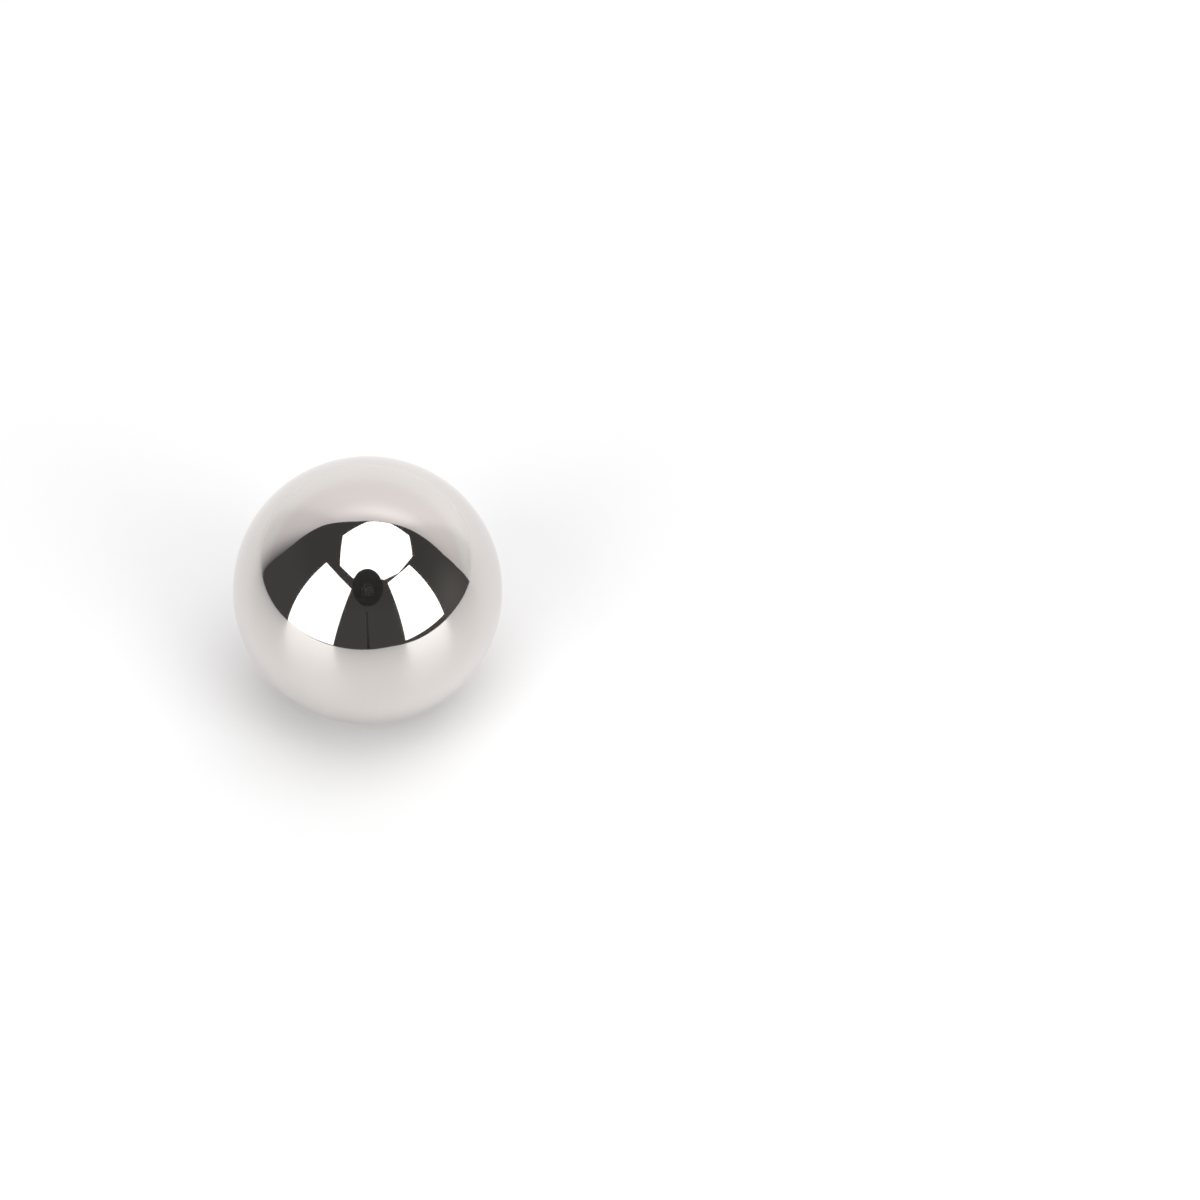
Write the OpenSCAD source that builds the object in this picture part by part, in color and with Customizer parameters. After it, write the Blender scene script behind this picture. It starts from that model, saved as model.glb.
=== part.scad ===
// Solid steel ball, ground and lapped all over: one true sphere with no flat, hole or seam.
// Millimetres, +Z up, origin at the centre of the ball.

/* [Ball] */
// Diameter of the ball
ball_d = 30; // [3:0.5:60]

/* [Hidden] */
// Colour of polished steel
steel = [0.78, 0.77, 0.76];

// How finely round forms are drawn
$fn = 180;

// The whole piece: its surface lies half a diameter from the origin in every direction
module ball() {
    color(steel)
        sphere(d = ball_d);
}

ball();
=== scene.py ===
import math

import bmesh
import bpy
from bpy.props import FloatProperty, FloatVectorProperty, IntProperty, PointerProperty
from bpy.types import NodeSocket, Operator, Panel, PropertyGroup
from mathutils import Matrix, Vector


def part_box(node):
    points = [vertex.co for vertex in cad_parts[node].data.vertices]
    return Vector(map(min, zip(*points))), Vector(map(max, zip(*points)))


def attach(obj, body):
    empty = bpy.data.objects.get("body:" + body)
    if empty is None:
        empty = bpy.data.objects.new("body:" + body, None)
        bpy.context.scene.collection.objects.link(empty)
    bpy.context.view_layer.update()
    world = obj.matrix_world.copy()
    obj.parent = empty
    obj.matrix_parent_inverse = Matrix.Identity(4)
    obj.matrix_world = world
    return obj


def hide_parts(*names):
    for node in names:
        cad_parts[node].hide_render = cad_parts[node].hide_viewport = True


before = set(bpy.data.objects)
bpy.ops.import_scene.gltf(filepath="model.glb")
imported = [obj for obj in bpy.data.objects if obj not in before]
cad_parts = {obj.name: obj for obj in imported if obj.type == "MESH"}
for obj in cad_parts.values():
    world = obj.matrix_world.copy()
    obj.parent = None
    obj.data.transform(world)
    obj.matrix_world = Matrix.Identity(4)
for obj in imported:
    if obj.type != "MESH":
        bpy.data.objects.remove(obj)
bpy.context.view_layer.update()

bl_info = {
    "name": "Steel Ball",
    "version": (1, 0, 0),
    "blender": (4, 5, 0),
    "location": "3D View > Sidebar > Steel Ball",
    "description": "A lapped steel ball with a mirror finish, and the small studio that it is shown in",
    "category": "Object",
}

# ---------------------------------------------------------------- the ball, in metres

BOX_LOW, BOX_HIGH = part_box("ball")
BALL_RADIUS = (BOX_HIGH.z - BOX_LOW.z) / 2
BALL_CENTRE = Vector((0.0, 0.0, (BOX_HIGH.z + BOX_LOW.z) / 2))
TABLE_LEVEL = BOX_LOW.z
CLOUD_SCALE = 110.0  # how small the faint clouds in the steel are
CLOUD_DETAIL = 3.0  # and how many finer layers they have
GRAIN_SCALE = 1600.0  # the same for the finer grain in its gloss
GRAIN_DETAIL = 2.0
HAZE = (0.7, 1.3)  # clouds and grain together, from where the gloss is best to where it is worst
HAZE_SHARE = 0.25  # how far the roughness strays to either side, as a share of it

# ---------------------------------------------------------------- the camera

FRAME_SIDE = 1200  # the frame's width and height, in pixels
BALL_ACROSS = 367.8  # the ball's centre, in pixels from the frame's left side
BALL_DOWN = 590.3  # the ball's centre, in pixels from the frame's top
BALL_SPAN = 269.2  # the ball's width in the frame, in pixels
LENS = 120.0  # millimetres
SENSOR = 36.0  # millimetres
LOOK_DOWN = math.radians(49)  # how far below the horizon the camera looks
SIGHT = (0.01, 20.0)  # the nearest and the furthest that it sees, in metres

# ---------------------------------------------------------------- the table, in metres

TRIM_START = (0.29, 0.048)  # where the long slanted cut of the table top starts, across and back
TRIM_END = (1.53, 0.28)  # and where it meets the backdrop's foot
SHEET_EDGE = (  # the corners of the white table top, across and back
    (-0.74, 0.90),
    (-0.74, -0.455),
    (0.152, -0.455),
    (0.182, -0.215),
    (0.31, -0.09),
    TRIM_START,
    TRIM_END,
    (1.70, 0.90),
)
SEEN_SHADING = (0.10, 0.20)  # from where to where the shading that the camera sees gives way to white
MIRRORED_SHADING = (0.70, 0.90)  # and the shading that mirrors show
BEHIND_REACH = (0.03, 0.14)  # from where to where, behind the ball, the table has a painted glow of its own in mirrors
PAINTED_BEHIND_GLOW = 0.045  # and how strong that painted glow is

# ---------------------------------------------------------------- the backdrop, in metres

BACKDROP_BACK = TRIM_END[1]  # from the ball to the backdrop
BACKDROP_CURVE = 0.08  # radius of the curve where it leaves the table
BACKDROP_STEPS = 16  # in that curve
BACKDROP_EDGE = (  # across and up, from its foot on the left, over the top, to its foot on the right
    (-1.25, 0.48),
    (-1.00, 0.62),
    (-0.70, 0.645),
    (-0.42, 0.66),
    (-0.25, 0.75),
    (-0.10, 0.81),
    (0.15, 0.77),
    (0.45, 0.72),
    (1.00, 0.71),
    (1.40, 0.66),
    (1.62, 0.32),
)
BACKDROP_FEET = (-1.20, TRIM_END[0])  # the two ends of its foot
BACKDROP_HEM = 0.02  # the black tape round its edge
ACROSS_GLOW = (  # how bright it is at some places across it
    (-1.25, 0.10),
    (-0.80, 0.42),
    (-0.48, 0.74),
    (-0.32, 0.82),
    (-0.20, 0.98),
    (0.10, 1.05),
    (0.32, 1.045),
    (0.46, 0.88),
    (0.65, 0.81),
    (0.95, 0.74),
    (1.65, 0.66),
)
UP_GLOW = (  # and how much brighter or dimmer at some heights
    (-0.02, 1.09),
    (0.06, 1.09),
    (0.11, 1.07),
    (0.17, 1.03),
    (0.30, 1.03),
    (0.52, 0.98),
    (0.76, 0.80),
)
POOL_PLACE = Vector((0.13, BACKDROP_BACK, 0.50))  # the middle of where the top light brightens it
POOL_REACH = 0.22  # from there up and down
POOL_SHAPE = Vector((0.5, 1.0, 1.0))  # it reaches twice as far across
POOL_GLOW = 0.25
GLOW_RISE = (TABLE_LEVEL, TABLE_LEVEL + BACKDROP_CURVE / 2)  # heights where its own glow takes over
GLOW_ACROSS = (0.4, 0.8)  # from where to where, on the right, its own glow takes over at its foot too
GLOW_TINT = (0.09, 0.18)  # heights between which its painted light turns from the white that the table casts on its foot to a pinker light higher up
EXTRA_FADE = (0.0, 0.4)  # shares of its own glow between which the table's painted glow ends on the backdrop's foot

# ---------------------------------------------------------------- the lights, in metres and degrees

LIGHT_LIP = 0.012  # how far the black cloth stands out round each light's front
LIGHTS = (
    {
        "name": "top_light",
        "share": 1.0,  # of the lights' strength
        "place": (0.10, -0.02, 0.80),
        "turns": (-146.3, 57.2, -38.4),  # how far it is turned, leant and rolled
        "corners": (  # of its front, across and up
            (0.462, 0.165),
            (0.38, -0.30),
            (0.17, -0.43),
            (-0.18, -0.38),
            (-0.305, -0.283),
            (-0.443, -0.05),
            (-0.405, 0.24),
            (-0.13, 0.42),
            (0.14, 0.41),
        ),
    },
    {
        "name": "left_light",
        "share": 1.0,
        "place": (-0.505, -0.587, 0.459),
        "turns": (124.2, 13.3, 0.0),
        "corners": ((-0.327, -0.494), (0.321, -0.482), (0.321, 0.502), (-0.327, 0.502)),
    },
    {
        "name": "right_light",
        "share": 1.18,
        "place": (0.591, -0.492, 0.468),
        "turns": (-128.0, 0.9, -1.8),
        "corners": ((-0.243, -0.442), (0.25, -0.482), (0.26, 0.50), (-0.266, 0.50)),
    },
)

# ---------------------------------------------------------------- other things in the room, in metres

ROOM_HALF = 2.4  # half the width of the dark room
DIM_START = ROOM_HALF / 2  # how high up the walls' painted light starts to get dimmer
LAMP_PLACE = Vector((ROOM_HALF, -0.4, 0.2))  # where a painted patch of light on the right wall is brightest
LAMP_REACH = 1.4
CARD_WIDE = 0.10  # half the width of the black card behind the lens
CARD_TALL = 0.125  # half its height
CARD_RAISE = 0.02  # how far its middle is above the lens
CARD_SIDES = 48
LENS_RADIUS = 0.036
LENS_LENGTH = 0.07
LENS_SIDES = 32
GLASS_RING = LENS_RADIUS * 0.22  # the flat ring round the lens's glass
GLASS_LEDGE = LENS_RADIUS * 0.05  # the slope inside the ring
GLASS_SUNK = LENS_RADIUS * 0.4  # how deep the glass lies
POST_RADIUS = 0.011
POST_SIDES = 16
POST_BACK = 0.56  # from the ball to the post that carries the card

# ---------------------------------------------------------------- plain colours and finishes

WHITE = (1.0, 1.0, 1.0, 1.0)  # of the lights, the backdrop's foot, and the table and sky far out
BLACK = (0.018, 0.018, 0.018, 1.0)  # of cloth, card and paint
CLOTH_ROUGHNESS = 0.8
CARD_ROUGHNESS = 0.7
BARREL_ROUGHNESS = 0.35
GLASS_ROUGHNESS = 0.05


# ---------------------------------------------------------------- nodes


def new_material(name):
    """A material with an empty node tree."""
    material = bpy.data.materials.new(name)
    material.use_nodes = True
    material.node_tree.nodes.clear()
    return material


def add_node(tree, kind, place, inputs=None, **settings):
    """Adds a node at a place in the tree. An input is a value, or another node's output to join."""
    node = tree.nodes.new(kind)
    node.location = place
    for name, value in settings.items():
        setattr(node, name, value)
    for key, value in (inputs or {}).items():
        if isinstance(value, NodeSocket):
            tree.links.new(value, node.inputs[key])
        else:
            node.inputs[key].default_value = value
    return node


def add_position(tree, place):
    """Where each point of the surface lies, in metres."""
    return add_node(tree, "ShaderNodeTexCoord", place).outputs["Object"]


def add_math(tree, operation, place, first, second):
    """Joins two values by a sum, a product or the like."""
    node = add_node(tree, "ShaderNodeMath", place, {0: first, 1: second}, operation=operation)
    return node.outputs["Value"]


def add_product(tree, place, first, second):
    """Multiplies two vectors, axis by axis."""
    inputs = {0: first, 1: second}
    node = add_node(tree, "ShaderNodeVectorMath", place, inputs, operation="MULTIPLY")
    return node.outputs["Vector"]


def add_distance(tree, place, first, second):
    """How far one point is from another."""
    inputs = {0: first, 1: second}
    node = add_node(tree, "ShaderNodeVectorMath", place, inputs, operation="DISTANCE")
    return node.outputs["Value"]


def add_range(tree, value, place, span, to=(0.0, 1.0), smooth=False):
    """Turns a value within a span into one between 0 and 1, or between two given results."""
    inputs = {
        "Value": value,
        "From Min": span[0],
        "From Max": span[1],
        "To Min": to[0],
        "To Max": to[1],
    }
    kind = "SMOOTHSTEP" if smooth else "LINEAR"
    node = add_node(tree, "ShaderNodeMapRange", place, inputs, interpolation_type=kind)
    return node.outputs["Result"]


def add_curve(tree, value, place, points):
    """A smooth curve through a few points, each a value and its result."""
    node = add_node(tree, "ShaderNodeFloatCurve", place, {"Value": value})
    mapping = node.mapping
    mapping.clip_min_x = points[0][0]
    mapping.clip_max_x = points[-1][0]
    mapping.clip_max_y = max(result for _, result in points)
    curve = mapping.curves[0]
    curve.points[0].location = points[0]
    curve.points[1].location = points[-1]
    for point in points[1:-1]:
        curve.points.new(*point)
    mapping.update()
    return node.outputs["Value"]


def add_tint(tree, share, place, first, second):
    """One colour that gives way to a second as the share rises from 0 to 1."""
    inputs = {"Factor": share, "A": first, "B": second}
    return add_node(tree, "ShaderNodeMix", place, inputs, data_type="RGBA").outputs["Result"]


def add_mirror_test(tree, path, place):
    """1 where a mirror or glass shows the thing, 0 elsewhere."""
    return add_math(
        tree, "MAXIMUM", place, path.outputs["Is Glossy Ray"], path.outputs["Is Transmission Ray"]
    )


def add_surface(tree, place, colour, roughness, metallic=0.0):
    """A lit surface. Its colour and roughness are values or other nodes' outputs."""
    inputs = {"Base Color": colour, "Roughness": roughness, "Metallic": metallic}
    return add_node(tree, "ShaderNodeBsdfPrincipled", place, inputs).outputs["BSDF"]


def add_glow(tree, place, colour, strength):
    """A surface with light of its own. Its colour and strength are values or other nodes' outputs."""
    inputs = {"Color": colour, "Strength": strength}
    return add_node(tree, "ShaderNodeEmission", place, inputs).outputs["Emission"]


def add_extra(tree, place, surface, strength):
    """Gives a shader some white light of its own."""
    light = add_glow(tree, (place[0] - 200, place[1] - 150), WHITE, strength)
    return add_node(tree, "ShaderNodeAddShader", place, {0: surface, 1: light}).outputs["Shader"]


def add_blend(tree, place, share, first, second):
    """One shader that gives way to a second as the share rises from 0 to 1."""
    node = add_node(tree, "ShaderNodeMixShader", place, {"Fac": share, 1: first, 2: second})
    return node.outputs["Shader"]


def finish_with(tree, surface, place):
    """Joins a shader to the material's output."""
    add_node(tree, "ShaderNodeOutputMaterial", place, {"Surface": surface})


# ---------------------------------------------------------------- meshes and objects


def points_of(made):
    """The vertices in what a bmesh operator made."""
    return [part for part in made if isinstance(part, bmesh.types.BMVert)]


def add_object(name, shape, materials):
    """Makes an object at the origin from a bmesh, which it frees."""
    mesh = bpy.data.meshes.new(name)
    shape.to_mesh(mesh)
    shape.free()
    for material in materials:
        mesh.materials.append(material)
    made = bpy.data.objects.new(name, mesh)
    bpy.context.scene.collection.objects.link(made)
    return made


def add_to_stage(made):
    """Hides a piece of the studio from the camera, while the ball still shows it."""
    made.visible_camera = False
    return made


# ---------------------------------------------------------------- materials


def mirror_steel(ball):
    """Steel lapped to a mirror, with a faint cloudiness in its colour and its gloss."""
    material = new_material("mirror_steel")
    tree = material.node_tree
    position = add_position(tree, (-1300, 0))
    clouds = {"Vector": position, "Scale": CLOUD_SCALE, "Detail": CLOUD_DETAIL}
    cloud = add_node(tree, "ShaderNodeTexNoise", (-1050, 200), clouds).outputs["Fac"]
    grains = {"Vector": position, "Scale": GRAIN_SCALE, "Detail": GRAIN_DETAIL}
    grain = add_node(tree, "ShaderNodeTexNoise", (-1050, -150), grains).outputs["Fac"]
    tint = add_tint(tree, cloud, (-450, 350), (*ball.steel_shade, 1.0), (*ball.steel_colour, 1.0))
    haze = add_math(tree, "ADD", (-750, 0), cloud, grain)
    best, worst = ball.roughness * (1 - HAZE_SHARE), ball.roughness * (1 + HAZE_SHARE)
    gloss = add_range(tree, haze, (-450, 50), HAZE, to=(best, worst))
    surface = add_surface(tree, (-100, 200), tint, gloss, metallic=1.0)
    finish_with(tree, surface, (250, 200))
    return material


def white_sheet(studio):
    """Smooth white board. The camera sees its shading near the ball, and plain white further out. Mirrors
    also see a painted glow on it behind the ball.
    """
    material = new_material("white_sheet")
    tree = material.node_tree
    colour = (*studio.floor_colour, 1.0)
    position = add_position(tree, (-1300, 0))
    level = add_product(tree, (-1100, 0), position, (1.0, 1.0, 0.0))
    reach = add_distance(tree, (-900, 0), level, (0.0, 0.0, 0.0))
    seen_away = add_range(tree, reach, (-700, 50), SEEN_SHADING, smooth=True)
    mirrored_away = add_range(tree, reach, (-700, -250), MIRRORED_SHADING, smooth=True)

    path = add_node(tree, "ShaderNodeLightPath", (-1100, 500))
    seen = path.outputs["Is Camera Ray"]
    mirrored = add_mirror_test(tree, path, (-800, 400))
    seen_white = add_math(tree, "MULTIPLY", (-450, 150), seen, seen_away)
    mirrored_white = add_math(tree, "MULTIPLY", (-450, -50), mirrored, mirrored_away)
    plain = add_math(tree, "MAXIMUM", (-250, 50), seen_white, mirrored_white)

    # painted light: in mirrors only, the table behind the ball glows with some white light of its own
    axes = add_node(tree, "ShaderNodeSeparateXYZ", (-1100, -500), {"Vector": position})
    extra = (0.0, PAINTED_BEHIND_GLOW)
    behind = add_range(tree, axes.outputs["Y"], (-700, -500), BEHIND_REACH, to=extra, smooth=True)
    painted_glow_in_mirrors = add_math(tree, "MULTIPLY", (-450, -300), mirrored, behind)

    board = add_surface(tree, (-450, 700), colour, studio.floor_roughness)
    matt = add_node(tree, "ShaderNodeBsdfDiffuse", (-450, 300), {"Color": colour}).outputs["BSDF"]
    lit = add_blend(tree, (-50, 350), seen, board, matt)
    brighter = add_extra(tree, (150, 250), lit, painted_glow_in_mirrors)
    white = add_glow(tree, (150, -100), WHITE, 1.0)
    both = add_blend(tree, (350, 200), plain, brighter, white)
    finish_with(tree, both, (550, 200))
    return material


def glowing_paper(studio):
    """White paper with its own soft light, brighter where the top light falls and dimmer to its sides."""
    material = new_material("glowing_paper")
    tree = material.node_tree
    position = add_position(tree, (-1300, 0))
    axes = add_node(tree, "ShaderNodeSeparateXYZ", (-1100, 0), {"Vector": position})
    across = add_curve(tree, axes.outputs["X"], (-850, 300), ACROSS_GLOW)
    up = add_curve(tree, axes.outputs["Z"], (-850, 0), UP_GLOW)
    level = add_math(tree, "MULTIPLY", (-550, 150), across, up)

    shaped = add_product(tree, (-1050, -300), position, POOL_SHAPE)
    away = add_distance(tree, (-850, -300), shaped, POOL_PLACE * POOL_SHAPE)
    pool = add_range(tree, away, (-550, -200), (0.0, POOL_REACH), to=(POOL_GLOW, 0.0), smooth=True)
    shown = add_math(tree, "ADD", (-350, 0), level, pool)

    path = add_node(tree, "ShaderNodeLightPath", (-550, -450))
    in_mirror = path.outputs["Is Glossy Ray"]
    share = add_range(tree, in_mirror, (-350, -250), (0.0, 1.0), to=(studio.paper_light, 1.0))
    strength = add_math(tree, "MULTIPLY", (-250, -50), shown, share)
    # painted light: white at the foot, where the table's light falls, and pinker higher up
    tinted = add_range(tree, axes.outputs["Z"], (-550, 650), GLOW_TINT, smooth=True)
    tint = add_tint(tree, tinted, (-300, 400), WHITE, (*studio.paper_colour, 1.0))
    glow = add_glow(tree, (-50, 0), tint, strength)

    raised = add_range(tree, axes.outputs["Z"], (-550, -650), GLOW_RISE, smooth=True)
    beside = add_range(tree, axes.outputs["X"], (-550, -900), GLOW_ACROSS, smooth=True)
    own = add_math(tree, "MAXIMUM", (-250, -700), raised, beside)
    # painted light: the table's painted glow carries on up the backdrop's foot, in mirrors only
    painted_table_glow = add_range(tree, raised, (-250, -450), EXTRA_FADE, to=(PAINTED_BEHIND_GLOW, 0.0))
    painted_glow_in_mirrors = add_math(tree, "MULTIPLY", (-50, -350), in_mirror, painted_table_glow)
    board = add_surface(tree, (-50, 500), (*studio.floor_colour, 1.0), studio.floor_roughness)
    foot = add_extra(tree, (250, 300), board, painted_glow_in_mirrors)
    both = add_blend(tree, (450, 200), own, foot, glow)
    finish_with(tree, both, (650, 200))
    return material


def plain_glow(name, strength):
    """A surface that gives the same white light all over."""
    material = new_material(name)
    tree = material.node_tree
    finish_with(tree, add_glow(tree, (0, 0), WHITE, strength), (200, 0))
    return material


def dark_walls(studio):
    """The room's walls, which give off a dim painted light of their own: a little lighter where some
    light reaches the right one, and dimmer high up.
    """
    material = new_material("dark_walls")
    tree = material.node_tree
    position = add_position(tree, (-1100, 0))
    away = add_distance(tree, (-900, 150), position, LAMP_PLACE)
    right = (studio.room_right, 1.0)
    near = add_range(tree, away, (-700, 150), (0.0, LAMP_REACH), to=right, smooth=True)
    axes = add_node(tree, "ShaderNodeSeparateXYZ", (-900, -150), {"Vector": position})
    top = (1.0, studio.room_ceiling)
    high = add_range(tree, axes.outputs["Z"], (-700, -150), (DIM_START, ROOM_HALF), to=top)
    light = add_math(tree, "MULTIPLY", (-450, 0), near, high)
    finish_with(tree, add_glow(tree, (-200, 0), (*studio.room_colour, 1.0), light), (0, 0))
    material.cycles.emission_sampling = "NONE"
    return material


def black_paint(name, roughness):
    """Black cloth, card or paint."""
    material = new_material(name)
    tree = material.node_tree
    finish_with(tree, add_surface(tree, (0, 0), BLACK, roughness), (300, 0))
    return material


# ---------------------------------------------------------------- the studio's pieces


def build_floor(studio):
    """The white table top."""
    shape = bmesh.new()
    shape.faces.new([shape.verts.new((across, back, TABLE_LEVEL)) for across, back in SHEET_EDGE])
    floor = add_object("floor", shape, [white_sheet(studio)])
    return floor


def build_backdrop(studio):
    """The white sweep that rises behind the ball, from a curve at the table to its taped edge."""
    shape = bmesh.new()
    wall_low = TABLE_LEVEL + BACKDROP_CURVE
    feet = [shape.verts.new((across, BACKDROP_BACK, wall_low)) for across in BACKDROP_FEET]
    edge = [shape.verts.new((across, BACKDROP_BACK, up)) for across, up in BACKDROP_EDGE]
    shape.faces.new([feet[0], *edge, feet[1]])
    foot = [side for side in shape.edges if feet[0] in side.verts and feet[1] in side.verts]
    outline = [side for side in shape.edges if side not in foot]

    hem = bmesh.ops.extrude_edge_only(shape, edges=outline)["geom"]
    middle = Vector((0.0, BACKDROP_BACK, wall_low))
    for point in points_of(hem):
        point.co += (point.co - middle).normalized() * BACKDROP_HEM
    for part in hem:
        if isinstance(part, bmesh.types.BMFace):
            part.material_index = 1

    wall = set(shape.faces)
    bmesh.ops.spin(
        shape,
        geom=foot,
        cent=(0.0, BACKDROP_BACK - BACKDROP_CURVE, wall_low),
        axis=(1.0, 0.0, 0.0),
        angle=-math.pi / 2,
        steps=BACKDROP_STEPS,
    )
    curved = [face for face in shape.faces if face not in wall]
    parts = [part for face in curved for part in (face, *face.edges, *face.verts)]
    trim = Vector(TRIM_END) - Vector(TRIM_START)
    bmesh.ops.bisect_plane(
        shape,
        geom=list(dict.fromkeys(parts)),
        plane_co=(*TRIM_END, 0.0),
        plane_no=(trim.y, -trim.x, 0.0),
        clear_outer=True,
    )
    for face in shape.faces:
        face.smooth = face.material_index == 0
    materials = [glowing_paper(studio), black_paint("black_tape", CLOTH_ROUGHNESS)]
    return add_to_stage(add_object("backdrop", shape, materials))


def build_room(studio):
    """The dark walls and ceiling of the room, which only mirrors show."""
    shape = bmesh.new()
    bmesh.ops.create_cube(shape, size=ROOM_HALF * 2)
    bmesh.ops.reverse_faces(shape, faces=shape.faces)
    room = add_to_stage(add_object("room", shape, [dark_walls(studio)]))
    room.visible_diffuse = False
    room.visible_shadow = False
    return room


def build_light(studio, name, share, place, turns, corners):
    """A flat light: a white front with a lip of black cloth round it."""
    shape = bmesh.new()
    front = shape.faces.new([shape.verts.new((across, 0.0, up)) for across, up in corners])
    lip = bmesh.ops.extrude_edge_only(shape, edges=shape.edges[:])["geom"]
    bmesh.ops.translate(shape, verts=points_of(lip), vec=(0.0, -LIGHT_LIP, 0.0))
    for face in shape.faces:
        face.material_index = 0 if face == front else 1

    turn, lean, roll = (math.radians(angle) for angle in turns)
    turned = Matrix.Rotation(turn, 4, "Z") @ Matrix.Rotation(lean, 4, "X")
    turned @= Matrix.Rotation(roll, 4, "Y")
    bmesh.ops.transform(shape, matrix=Matrix.Translation(place) @ turned, verts=shape.verts)
    materials = [
        plain_glow(name + "_front", studio.light_strength * share),
        black_paint(name + "_lip", CLOTH_ROUGHNESS),
    ]
    return add_to_stage(add_object(name, shape, materials))


def build_lens_card(place):
    """An oval black card with a lens in it, where the camera is, and a thin post behind it."""
    shape = bmesh.new()
    towards = (BALL_CENTRE - place).to_track_quat("Z", "Y").to_matrix().to_4x4()
    here = Matrix.Translation(place) @ towards
    oval = Matrix.Translation((0.0, CARD_RAISE, 0.0)) @ Matrix.Diagonal((CARD_WIDE, CARD_TALL, 1.0, 1.0))
    bmesh.ops.create_circle(shape, cap_ends=True, segments=CARD_SIDES, radius=1.0, matrix=here @ oval)

    barrel = bmesh.ops.create_cone(
        shape,
        cap_ends=True,
        segments=LENS_SIDES,
        radius1=LENS_RADIUS,
        radius2=LENS_RADIUS,
        depth=LENS_LENGTH,
        matrix=here @ Matrix.Translation((0.0, 0.0, LENS_LENGTH / 2)),
    )
    barrel_faces = {face for point in barrel["verts"] for face in point.link_faces}
    ends = [face for face in barrel_faces if len(face.verts) == LENS_SIDES]
    glass = min(ends, key=lambda face: (face.calc_center_median() - BALL_CENTRE).length)
    for face in barrel_faces:
        face.material_index = 1
    bmesh.ops.inset_region(shape, faces=[glass], thickness=GLASS_RING)
    bmesh.ops.inset_region(shape, faces=[glass], thickness=GLASS_LEDGE, depth=-GLASS_SUNK)
    glass.material_index = 2

    post_top = Vector((place.x, -POST_BACK, place.z))
    height = post_top.z + ROOM_HALF
    bmesh.ops.create_cone(
        shape,
        cap_ends=True,
        segments=POST_SIDES,
        radius1=POST_RADIUS,
        radius2=POST_RADIUS,
        depth=height,
        matrix=Matrix.Translation(post_top - Vector((0.0, 0.0, height / 2))),
    )
    materials = [
        black_paint("black_card", CARD_ROUGHNESS),
        black_paint("black_barrel", BARREL_ROUGHNESS),
        black_paint("dark_glass", GLASS_ROUGHNESS),
    ]
    return add_to_stage(add_object("lens_card", shape, materials))


def build_camera():
    """The camera, where the ball covers its given place and width in the frame."""
    focal = LENS / SENSOR * FRAME_SIDE
    across = (BALL_ACROSS - FRAME_SIDE / 2) / focal
    up = (FRAME_SIDE / 2 - BALL_DOWN) / focal
    sight = Vector((across, up, -1.0))
    away = BALL_RADIUS / math.sin(math.atan(BALL_SPAN / 2 / focal) / sight.length)
    tilt = Matrix.Rotation(math.pi / 2 - LOOK_DOWN, 3, "X")
    data = bpy.data.cameras.new("camera")
    data.lens = LENS
    data.sensor_width = SENSOR
    data.clip_start, data.clip_end = SIGHT
    camera = bpy.data.objects.new("camera", data)
    camera.location = BALL_CENTRE - (tilt @ sight.normalized()) * away
    camera.rotation_euler = tilt.to_euler()
    bpy.context.scene.collection.objects.link(camera)
    bpy.context.scene.camera = camera
    return camera


def set_world(studio):
    """White to the camera and in metal and glass, and an even fill for everything else."""
    world = bpy.data.worlds.new("studio_world")
    world.use_nodes = True
    tree = world.node_tree
    tree.nodes.clear()
    path = add_node(tree, "ShaderNodeLightPath", (-700, 300))
    mirrored = add_mirror_test(tree, path, (-450, 250))
    shown = add_math(tree, "MAXIMUM", (-250, 300), path.outputs["Is Camera Ray"], mirrored)
    level = add_range(tree, shown, (-50, 300), (0.0, 1.0), to=(studio.fill, 1.0))
    sky = add_node(tree, "ShaderNodeBackground", (200, 200), {"Color": WHITE, "Strength": level})
    add_node(tree, "ShaderNodeOutputWorld", (400, 200), {"Surface": sky.outputs["Background"]})
    bpy.context.scene.world = world


# ---------------------------------------------------------------- settings


class SteelBallSettings(PropertyGroup):
    """The ball's size and finish."""

    radius: FloatProperty(
        name="Radius",
        description="From the ball's centre to its surface",
        default=BALL_RADIUS,
        min=0.001,
        unit="LENGTH",
    )
    fineness: IntProperty(
        name="Fineness",
        description="How many times the faces of the starting shape are divided",
        default=7,
        min=4,
        max=7,
    )
    steel_colour: FloatVectorProperty(
        name="Steel",
        description="Colour of the polished steel",
        subtype="COLOR",
        size=3,
        default=(0.662, 0.632, 0.604),
        min=0.0,
        max=1.0,
    )
    steel_shade: FloatVectorProperty(
        name="Steel Shade",
        description="Colour of the steel where it is a little cloudy",
        subtype="COLOR",
        size=3,
        default=(0.647, 0.616, 0.588),
        min=0.0,
        max=1.0,
    )
    roughness: FloatProperty(
        name="Roughness",
        description="How soft the reflections are",
        default=0.04,
        min=0.0,
        max=1.0,
    )


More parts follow.
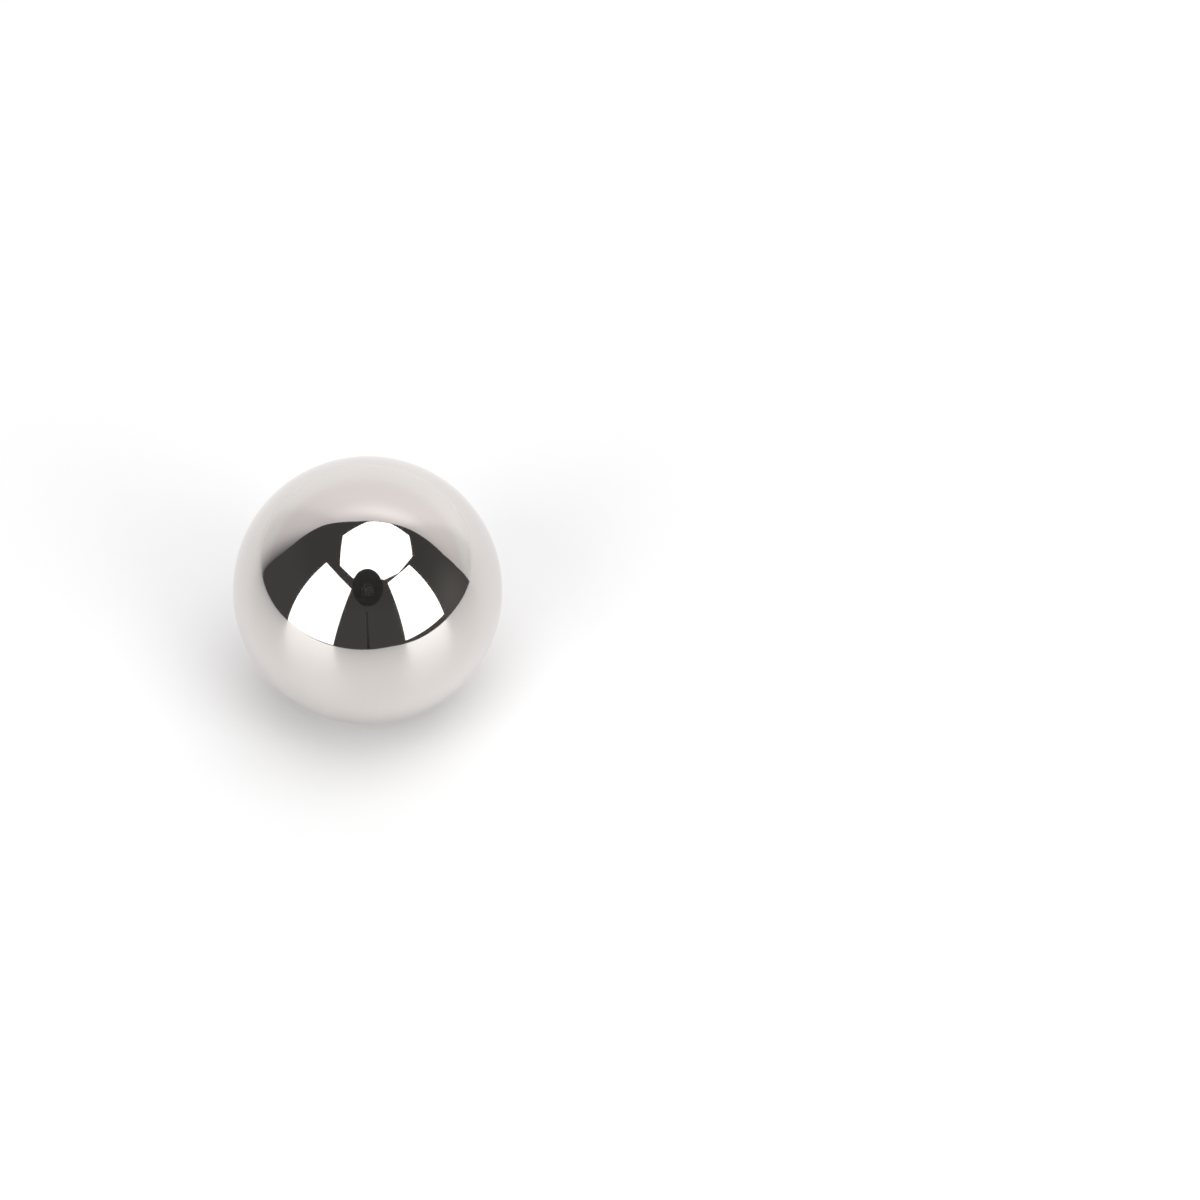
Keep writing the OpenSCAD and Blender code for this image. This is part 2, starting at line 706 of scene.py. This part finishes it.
class SteelBallStudio(PropertyGroup):
    """The lights and colours of the small studio."""

    floor_colour: FloatVectorProperty(
        name="Table Top",
        description="Colour of the white board",
        subtype="COLOR",
        size=3,
        default=(0.9, 0.9, 0.9),
        min=0.0,
        max=1.0,
    )
    floor_roughness: FloatProperty(
        name="Table Roughness",
        description="How soft the sheen on the white board is",
        default=0.38,
        min=0.0,
        max=1.0,
    )
    # painted light: the walls give off this colour as a dim light of their own
    room_colour: FloatVectorProperty(
        name="Room",
        description="Colour of the dark walls",
        subtype="COLOR",
        size=3,
        default=(0.072, 0.070, 0.069),
        min=0.0,
        max=1.0,
    )
    room_right: FloatProperty(
        name="Room's Right Side",
        description="How much lighter the room is to the right",
        default=1.65,
        min=0.0,
    )
    room_ceiling: FloatProperty(
        name="Room's Ceiling",
        description="How much of the room's light is left at its ceiling",
        default=0.85,
        min=0.0,
    )
    paper_colour: FloatVectorProperty(
        name="Backdrop",
        description="Colour of the backdrop's light",
        subtype="COLOR",
        size=3,
        default=(1.0, 0.968, 0.983),
        min=0.0,
        max=1.0,
    )
    paper_light: FloatProperty(
        name="Backdrop's Light",
        description="The share of the backdrop's brightness that falls on the table",
        default=0.72,
        min=0.0,
    )
    light_strength: FloatProperty(
        name="Light",
        description="Strength of the lights' white fronts",
        default=2.58,
        min=0.0,
    )
    fill: FloatProperty(
        name="Fill",
        description="Light that comes evenly from all round",
        default=0.1,
        min=0.0,
    )


# ---------------------------------------------------------------- operators


class STEELBALL_OT_make_ball(Operator):
    """Makes the polished ball in place of the plain solid"""

    bl_idname = "steelball.make_ball"
    bl_label = "Make Ball"

    def execute(self, context):
        ball = context.scene.steel_ball
        shape = bmesh.new()
        bmesh.ops.create_icosphere(shape, subdivisions=ball.fineness, radius=ball.radius)
        bmesh.ops.translate(shape, verts=shape.verts, vec=BALL_CENTRE)
        for face in shape.faces:
            face.smooth = True
        piece = add_object("polished_ball", shape, [mirror_steel(ball)])
        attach(piece, "root")
        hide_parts("ball")
        return {"FINISHED"}


class STEELBALL_OT_set_stage(Operator):
    """Sets the table, backdrop, dark room, lights and camera round the ball"""

    bl_idname = "steelball.set_stage"
    bl_label = "Set Stage"

    def execute(self, context):
        studio = context.scene.steel_ball_studio
        build_floor(studio)
        build_backdrop(studio)
        build_room(studio)
        for light in LIGHTS:
            build_light(studio, **light)
        camera = build_camera()
        build_lens_card(camera.location.copy())
        set_world(studio)
        context.scene.view_settings.view_transform = "Standard"
        return {"FINISHED"}


class STEELBALL_PT_sidebar(Panel):
    """Lists the ball's settings and steps"""

    bl_idname = "STEELBALL_PT_sidebar"
    bl_label = "Steel Ball"
    bl_space_type = "VIEW_3D"
    bl_region_type = "UI"
    bl_category = "Steel Ball"

    def draw(self, context):
        column = self.layout.column()
        for group in (context.scene.steel_ball, context.scene.steel_ball_studio):
            for name in group.__annotations__:
                column.prop(group, name)
        column.operator(STEELBALL_OT_make_ball.bl_idname)
        column.operator(STEELBALL_OT_set_stage.bl_idname)


CLASSES = (
    SteelBallSettings,
    SteelBallStudio,
    STEELBALL_OT_make_ball,
    STEELBALL_OT_set_stage,
    STEELBALL_PT_sidebar,
)


def register():
    """Gives the classes to Blender, and the scene its settings."""
    for made in CLASSES:
        bpy.utils.register_class(made)
    bpy.types.Scene.steel_ball = PointerProperty(type=SteelBallSettings)
    bpy.types.Scene.steel_ball_studio = PointerProperty(type=SteelBallStudio)


def unregister():
    """Takes both away again."""
    del bpy.types.Scene.steel_ball_studio
    del bpy.types.Scene.steel_ball
    for made in reversed(CLASSES):
        bpy.utils.unregister_class(made)


def main():
    """Registers the add-on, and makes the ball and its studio."""
    register()
    bpy.ops.steelball.make_ball()
    bpy.ops.steelball.set_stage()


if __name__ == "__main__":
    main()
